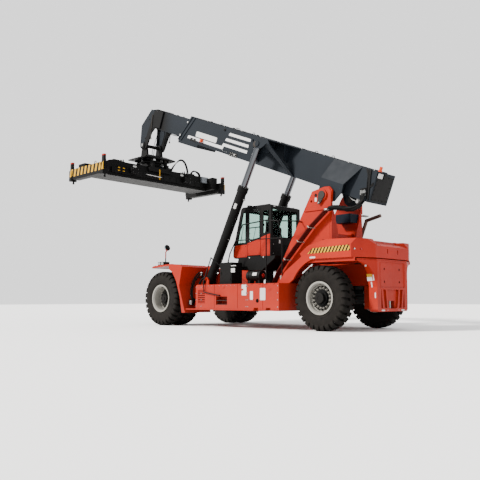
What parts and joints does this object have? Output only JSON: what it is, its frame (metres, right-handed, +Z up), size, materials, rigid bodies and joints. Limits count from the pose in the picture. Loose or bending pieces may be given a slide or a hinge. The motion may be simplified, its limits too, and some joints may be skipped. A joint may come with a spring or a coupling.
{
  "type": "reach stacker",
  "caption": "Container reach stacker: wheeled chassis with twin front tyres, central cab, telescopic lifting boom and an extending corner-lock spreader that can turn.",
  "frame": {"origin": "centre of the bounding box on the ground", "axes": "+X forwards, along the boom; +Y to the left; +Z up"},
  "size_m": [12.9104, 6.154, 8.7373],
  "materials": {
    "red_paint": "semi-gloss",
    "grey_paint": "semi-gloss",
    "black_paint": "satin",
    "chrome": "polished",
    "tyre": "matte",
    "hose": "matte",
    "rim_paint": "semi-gloss",
    "glass": "clear",
    "beacon": "gloss",
    "seat": "woven",
    "steel": "brushed",
    "iron": "cast"
  },
  "bodies": {
    "chassis": {"main_frame": "red_paint", "boom_towers": "red_paint", "valve_box": "black_paint", "pivot_pins": "black_paint", "side_box_left": "red_paint", "side_box_right": "red_paint", "front_fenders": "red_paint", "drive_axle": "black_paint", "steer_axle": "black_paint", "counterweight": "red_paint", "engine_hood": "red_paint", "engine_block": "iron", "cab_base": "black_paint", "cab_shell": "black_paint", "cab_glass": "glass", "cab_panels": "red_paint", "cab_seat": "seat", "handrails": "black_paint", "tower_pipes": "red_paint", "pipe_clamps": "rim_paint", "exhaust_stack": "steel", "work_lamps": "black_paint", "foot_hoses": "hose", "boom_hoses": "hose"},
    "boom": {"boom_base": "grey_paint", "boom_lamps": "beacon"},
    "inner_boom": {"boom_inner": "grey_paint", "boom_head": "grey_paint"},
    "lift_tube_l": {"lift_tube_left": "black_paint"},
    "lift_tube_r": {"lift_tube_right": "black_paint"},
    "lift_rod_l": {"lift_rod_left": "chrome"},
    "lift_rod_r": {"lift_rod_right": "chrome"},
    "hanger": {"spreader_hanger": "black_paint"},
    "rotator": {"spreader_rotator": "black_paint"},
    "spreader": {"spreader_frame": "black_paint"},
    "arm_left": {"spreader_arm_left": "black_paint"},
    "arm_right": {"spreader_arm_right": "black_paint"},
    "front_left_wheels": {"front_tyres_left": "tyre", "front_rims_left": "rim_paint"},
    "front_right_wheels": {"front_tyres_right": "tyre", "front_rims_right": "rim_paint"},
    "rear_left_wheel": {"rear_tyre_left": "tyre", "rear_rim_left": "rim_paint"},
    "rear_right_wheel": {"rear_tyre_right": "tyre", "rear_rim_right": "rim_paint"},
    "left_knuckle": {"knuckle_left": "black_paint"},
    "right_knuckle": {"knuckle_right": "black_paint"},
    "door": {"cab_door": "black_paint", "door_glass": "glass", "door_panel": "red_paint"}
  },
  "joints": [
    {"name": "front_left_spin", "type": "hinge", "parent": "chassis", "child": "front_left_wheels", "pos_m": [1.68478, 1.85, 0.9375], "axis": [0, 1, 0], "continuous": true},
    {"name": "front_right_spin", "type": "hinge", "parent": "chassis", "child": "front_right_wheels", "pos_m": [1.68478, -1.85, 0.9375], "axis": [0, 1, 0], "continuous": true},
    {"name": "rear_left_steer", "type": "hinge", "parent": "chassis", "child": "left_knuckle", "pos_m": [-5.01522, 1, 0.9375], "axis": [0, 0, 1], "range_deg": [-45, 45]},
    {"name": "rear_right_steer", "type": "hinge", "parent": "chassis", "child": "right_knuckle", "pos_m": [-5.01522, -1, 0.9375], "axis": [0, 0, 1], "range_deg": [-45, 45]},
    {"name": "rear_left_spin", "type": "hinge", "parent": "left_knuckle", "child": "rear_left_wheel", "pos_m": [-5.01522, 1.37, 0.9375], "axis": [0, 1, 0], "continuous": true},
    {"name": "rear_right_spin", "type": "hinge", "parent": "right_knuckle", "child": "rear_right_wheel", "pos_m": [-5.01522, -1.37, 0.9375], "axis": [0, 1, 0], "continuous": true},
    {"name": "boom_lift", "type": "hinge", "parent": "chassis", "child": "boom", "pos_m": [-4.56522, 0, 4.04], "axis": [0, 1, 0], "range_deg": [-38, 21], "deforming": ["boom_hoses"]},
    {"name": "boom_extend", "type": "slide", "parent": "boom", "child": "inner_boom", "axis": [0.9298, 0, 0.3681], "range_m": [0, 7]},
    {"name": "lift_tube_left_swing", "type": "hinge", "parent": "chassis", "child": "lift_tube_l", "pos_m": [0.24478, 1.08, 1.5], "axis": [0, 1, 0], "range_deg": [-7.34, 4.28]},
    {"name": "lift_rod_left_stroke", "type": "slide", "parent": "lift_tube_l", "child": "lift_rod_l", "axis": [-0.468, 0, 0.8837], "range_m": [-1.1337, 2.0475]},
    {"name": "lift_tube_right_swing", "type": "hinge", "parent": "chassis", "child": "lift_tube_r", "pos_m": [0.24478, -1.08, 1.5], "axis": [0, 1, 0], "range_deg": [-7.34, 4.28]},
    {"name": "lift_rod_right_stroke", "type": "slide", "parent": "lift_tube_r", "child": "lift_rod_r", "axis": [-0.468, 0, 0.8837], "range_m": [-1.1337, 2.0475]},
    {"name": "spreader_level", "type": "hinge", "parent": "inner_boom", "child": "hanger", "pos_m": [5.23622, 0, 7.31837], "axis": [0, 1, 0], "range_deg": [-21.5, 38.5]},
    {"name": "spreader_turn", "type": "hinge", "parent": "hanger", "child": "rotator", "pos_m": [5.23622, 0, 6.55837], "axis": [0, 0, 1], "range_deg": [-185, 95]},
    {"name": "side_shift", "type": "slide", "parent": "rotator", "child": "spreader", "axis": [0, 1, 0], "range_m": [-0.8, 0.8]},
    {"name": "arm_left_extend", "type": "slide", "parent": "spreader", "child": "arm_left", "axis": [0, 1, 0], "range_m": [0, 3.05]},
    {"name": "arm_right_extend", "type": "slide", "parent": "spreader", "child": "arm_right", "axis": [0, -1, 0], "range_m": [0, 3.05]},
    {"name": "cab_door_swing", "type": "hinge", "parent": "chassis", "child": "door", "pos_m": [-1.87522, 0.73, 3.1], "axis": [0, 0, 1], "range_deg": [0, 95]}
  ],
  "couplings": [
    {"joint": "rear_right_steer", "follows": "rear_left_steer", "ratio": 1},
    {"joint": "lift_tube_left_swing", "follows": "boom_lift", "ratio": 0.18},
    {"joint": "lift_tube_right_swing", "follows": "boom_lift", "ratio": 0.18},
    {"joint": "lift_rod_left_stroke", "follows": "boom_lift", "m_per_rad": -3.0796},
    {"joint": "lift_rod_right_stroke", "follows": "boom_lift", "m_per_rad": -3.0796},
    {"joint": "spreader_level", "follows": "boom_lift", "ratio": -1},
    {"joint": "arm_right_extend", "follows": "arm_left_extend", "ratio": 1}
  ]
}
